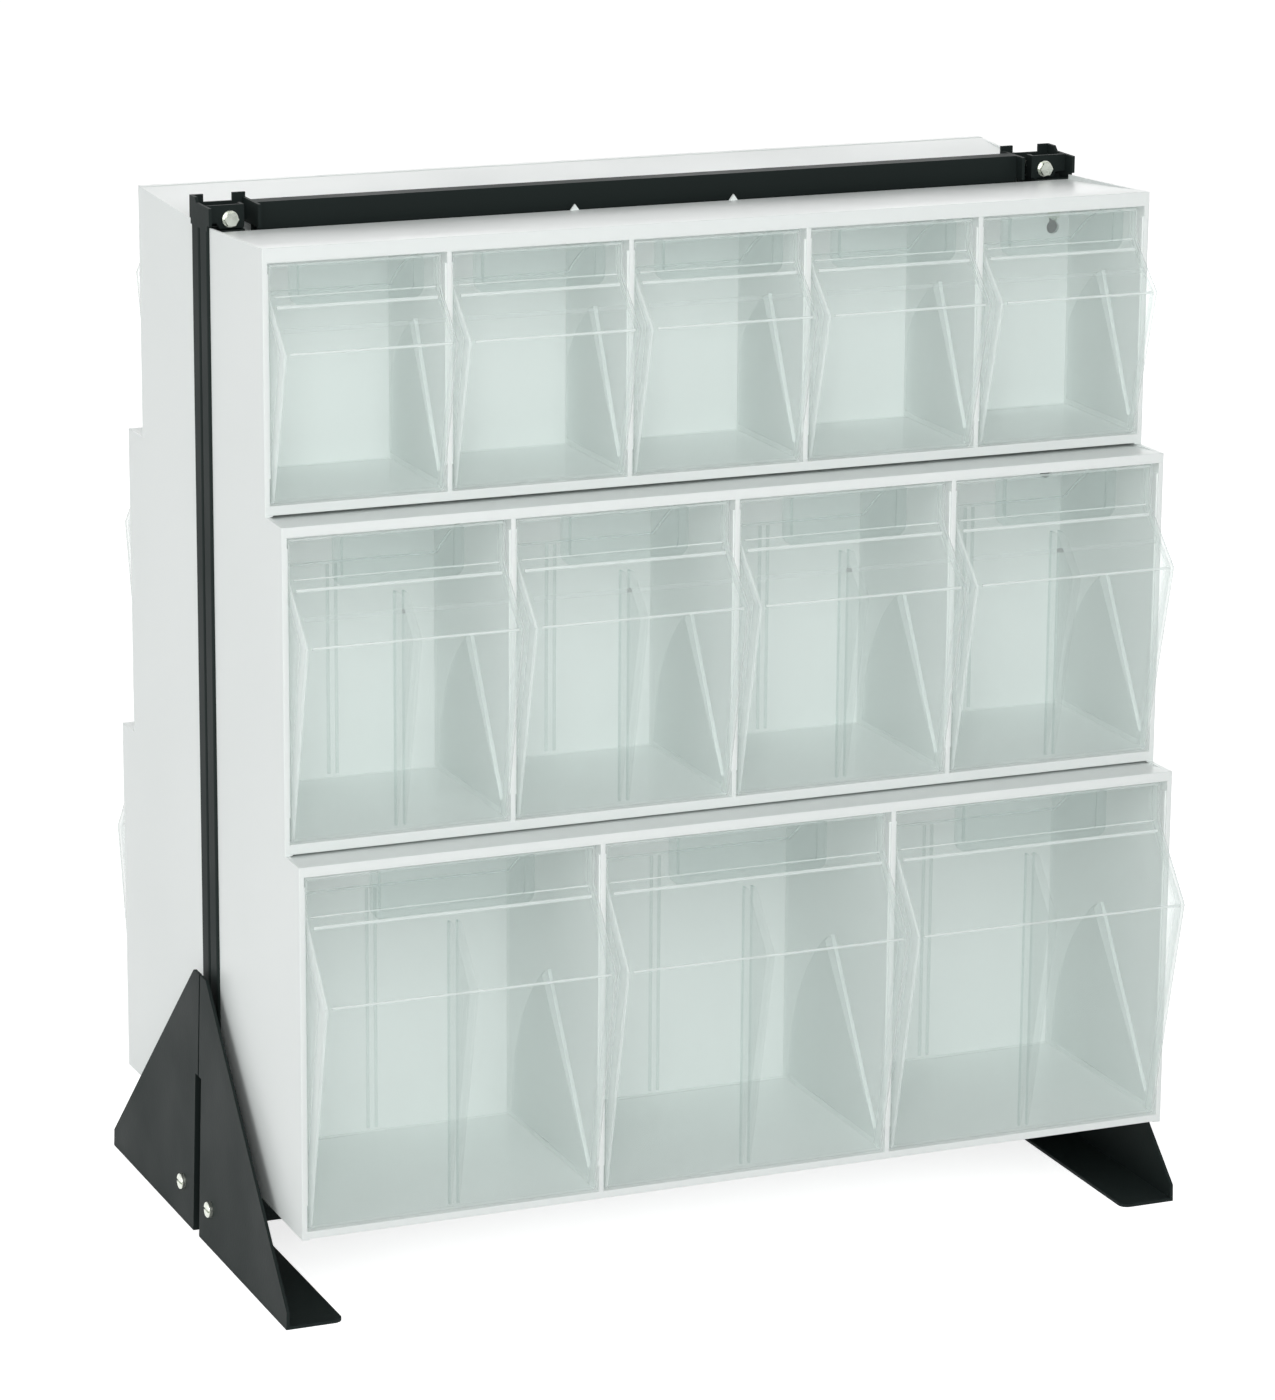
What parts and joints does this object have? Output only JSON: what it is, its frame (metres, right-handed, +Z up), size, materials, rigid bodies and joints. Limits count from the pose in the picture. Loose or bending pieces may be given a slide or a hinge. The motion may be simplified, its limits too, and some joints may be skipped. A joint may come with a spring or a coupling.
{
  "type": "two-sided tilt-out bin stand",
  "caption": "Free-standing two-sided rack of stacked white cabinets with clear bins that tip outwards, hung on a black steel stand with sheet feet.",
  "frame": {"origin": "on the floor, under the middle of the stand", "axes": "+X to the right along the cabinets, -Y towards the front face, +Z up"},
  "size_m": [0.6278, 0.428, 0.6806],
  "materials": {
    "cabinet_plastic": "fine moulded satin",
    "bin_plastic": "clear moulded, slightly green",
    "stand_steel": "satin black powder coat",
    "screw_zinc": "zinc plated",
    "plug_steel": "plain"
  },
  "bodies": {
    "stand": {"cabinet_front_top": "cabinet_plastic", "dividers_front_top": "cabinet_plastic", "cabinet_front_middle": "cabinet_plastic", "dividers_front_middle": "cabinet_plastic", "cabinet_front_bottom": "cabinet_plastic", "dividers_front_bottom": "cabinet_plastic", "cabinet_rear_top": "cabinet_plastic", "dividers_rear_top": "cabinet_plastic", "cabinet_rear_middle": "cabinet_plastic", "dividers_rear_middle": "cabinet_plastic", "cabinet_rear_bottom": "cabinet_plastic", "dividers_rear_bottom": "cabinet_plastic", "upright_left_front": "stand_steel", "foot_left_front": "stand_steel", "upright_left_rear": "stand_steel", "foot_left_rear": "stand_steel", "end_bracket_left": "stand_steel", "upright_right_front": "stand_steel", "foot_right_front": "stand_steel", "upright_right_rear": "stand_steel", "foot_right_rear": "stand_steel", "end_bracket_right": "stand_steel", "top_rail": "stand_steel", "base_rail_front": "stand_steel", "base_rail_rear": "stand_steel", "rail_plugs": "plug_steel", "foot_screws": "screw_zinc", "bracket_screws": "screw_zinc", "hanger_screws": "screw_zinc"},
    "tray_front_top_1": {"bin_front_top_1": "bin_plastic"},
    "tray_front_top_2": {"bin_front_top_2": "bin_plastic"},
    "tray_front_top_3": {"bin_front_top_3": "bin_plastic"},
    "tray_front_top_4": {"bin_front_top_4": "bin_plastic"},
    "tray_front_top_5": {"bin_front_top_5": "bin_plastic"},
    "tray_front_middle_1": {"bin_front_middle_1": "bin_plastic"},
    "tray_front_middle_2": {"bin_front_middle_2": "bin_plastic"},
    "tray_front_middle_3": {"bin_front_middle_3": "bin_plastic"},
    "tray_front_middle_4": {"bin_front_middle_4": "bin_plastic"},
    "tray_front_bottom_1": {"bin_front_bottom_1": "bin_plastic"},
    "tray_front_bottom_2": {"bin_front_bottom_2": "bin_plastic"},
    "tray_front_bottom_3": {"bin_front_bottom_3": "bin_plastic"},
    "tray_rear_top_1": {"bin_rear_top_1": "bin_plastic"},
    "tray_rear_top_2": {"bin_rear_top_2": "bin_plastic"},
    "tray_rear_top_3": {"bin_rear_top_3": "bin_plastic"},
    "tray_rear_top_4": {"bin_rear_top_4": "bin_plastic"},
    "tray_rear_top_5": {"bin_rear_top_5": "bin_plastic"},
    "tray_rear_middle_1": {"bin_rear_middle_1": "bin_plastic"},
    "tray_rear_middle_2": {"bin_rear_middle_2": "bin_plastic"},
    "tray_rear_middle_3": {"bin_rear_middle_3": "bin_plastic"},
    "tray_rear_middle_4": {"bin_rear_middle_4": "bin_plastic"},
    "tray_rear_bottom_1": {"bin_rear_bottom_1": "bin_plastic"},
    "tray_rear_bottom_2": {"bin_rear_bottom_2": "bin_plastic"},
    "tray_rear_bottom_3": {"bin_rear_bottom_3": "bin_plastic"}
  },
  "joints": [
    {"name": "tip_front_top_1", "type": "hinge", "parent": "stand", "child": "tray_front_top_1", "pos_m": [-0.23915, -0.1193, 0.5164], "axis": [1, 0, 0], "range_deg": [0, 30]},
    {"name": "tip_front_top_2", "type": "hinge", "parent": "stand", "child": "tray_front_top_2", "pos_m": [-0.12, -0.1193, 0.5164], "axis": [1, 0, 0], "range_deg": [0, 30]},
    {"name": "tip_front_top_3", "type": "hinge", "parent": "stand", "child": "tray_front_top_3", "pos_m": [0, -0.1193, 0.5164], "axis": [1, 0, 0], "range_deg": [0, 30]},
    {"name": "tip_front_top_4", "type": "hinge", "parent": "stand", "child": "tray_front_top_4", "pos_m": [0.12, -0.1193, 0.5164], "axis": [1, 0, 0], "range_deg": [0, 30]},
    {"name": "tip_front_top_5", "type": "hinge", "parent": "stand", "child": "tray_front_top_5", "pos_m": [0.23915, -0.1193, 0.5164], "axis": [1, 0, 0], "range_deg": [0, 30]},
    {"name": "tip_front_middle_1", "type": "hinge", "parent": "stand", "child": "tray_front_middle_1", "pos_m": [-0.22415, -0.15, 0.3104], "axis": [1, 0, 0], "range_deg": [0, 34]},
    {"name": "tip_front_middle_2", "type": "hinge", "parent": "stand", "child": "tray_front_middle_2", "pos_m": [-0.075, -0.15, 0.3104], "axis": [1, 0, 0], "range_deg": [0, 34]},
    {"name": "tip_front_middle_3", "type": "hinge", "parent": "stand", "child": "tray_front_middle_3", "pos_m": [0.075, -0.15, 0.3104], "axis": [1, 0, 0], "range_deg": [0, 34]},
    {"name": "tip_front_middle_4", "type": "hinge", "parent": "stand", "child": "tray_front_middle_4", "pos_m": [0.22415, -0.15, 0.3104], "axis": [1, 0, 0], "range_deg": [0, 34]},
    {"name": "tip_front_bottom_1", "type": "hinge", "parent": "stand", "child": "tray_front_bottom_1", "pos_m": [-0.19915, -0.176, 0.0675], "axis": [1, 0, 0], "range_deg": [0, 37]},
    {"name": "tip_front_bottom_2", "type": "hinge", "parent": "stand", "child": "tray_front_bottom_2", "pos_m": [0, -0.176, 0.0675], "axis": [1, 0, 0], "range_deg": [0, 37]},
    {"name": "tip_front_bottom_3", "type": "hinge", "parent": "stand", "child": "tray_front_bottom_3", "pos_m": [0.19915, -0.176, 0.0675], "axis": [1, 0, 0], "range_deg": [0, 37]},
    {"name": "tip_rear_top_1", "type": "hinge", "parent": "stand", "child": "tray_rear_top_1", "pos_m": [0.23915, 0.1193, 0.5164], "axis": [-1, 0, 0], "range_deg": [0, 30]},
    {"name": "tip_rear_top_2", "type": "hinge", "parent": "stand", "child": "tray_rear_top_2", "pos_m": [0.12, 0.1193, 0.5164], "axis": [-1, 0, 0], "range_deg": [0, 30]},
    {"name": "tip_rear_top_3", "type": "hinge", "parent": "stand", "child": "tray_rear_top_3", "pos_m": [0, 0.1193, 0.5164], "axis": [-1, 0, 0], "range_deg": [0, 30]},
    {"name": "tip_rear_top_4", "type": "hinge", "parent": "stand", "child": "tray_rear_top_4", "pos_m": [-0.12, 0.1193, 0.5164], "axis": [-1, 0, 0], "range_deg": [0, 30]},
    {"name": "tip_rear_top_5", "type": "hinge", "parent": "stand", "child": "tray_rear_top_5", "pos_m": [-0.23915, 0.1193, 0.5164], "axis": [-1, 0, 0], "range_deg": [0, 30]},
    {"name": "tip_rear_middle_1", "type": "hinge", "parent": "stand", "child": "tray_rear_middle_1", "pos_m": [0.22415, 0.15, 0.3104], "axis": [-1, 0, 0], "range_deg": [0, 34]},
    {"name": "tip_rear_middle_2", "type": "hinge", "parent": "stand", "child": "tray_rear_middle_2", "pos_m": [0.075, 0.15, 0.3104], "axis": [-1, 0, 0], "range_deg": [0, 34]},
    {"name": "tip_rear_middle_3", "type": "hinge", "parent": "stand", "child": "tray_rear_middle_3", "pos_m": [-0.075, 0.15, 0.3104], "axis": [-1, 0, 0], "range_deg": [0, 34]},
    {"name": "tip_rear_middle_4", "type": "hinge", "parent": "stand", "child": "tray_rear_middle_4", "pos_m": [-0.22415, 0.15, 0.3104], "axis": [-1, 0, 0], "range_deg": [0, 34]},
    {"name": "tip_rear_bottom_1", "type": "hinge", "parent": "stand", "child": "tray_rear_bottom_1", "pos_m": [0.19915, 0.176, 0.0675], "axis": [-1, 0, 0], "range_deg": [0, 37]},
    {"name": "tip_rear_bottom_2", "type": "hinge", "parent": "stand", "child": "tray_rear_bottom_2", "pos_m": [0, 0.176, 0.0675], "axis": [-1, 0, 0], "range_deg": [0, 37]},
    {"name": "tip_rear_bottom_3", "type": "hinge", "parent": "stand", "child": "tray_rear_bottom_3", "pos_m": [-0.19915, 0.176, 0.0675], "axis": [-1, 0, 0], "range_deg": [0, 37]}
  ]
}
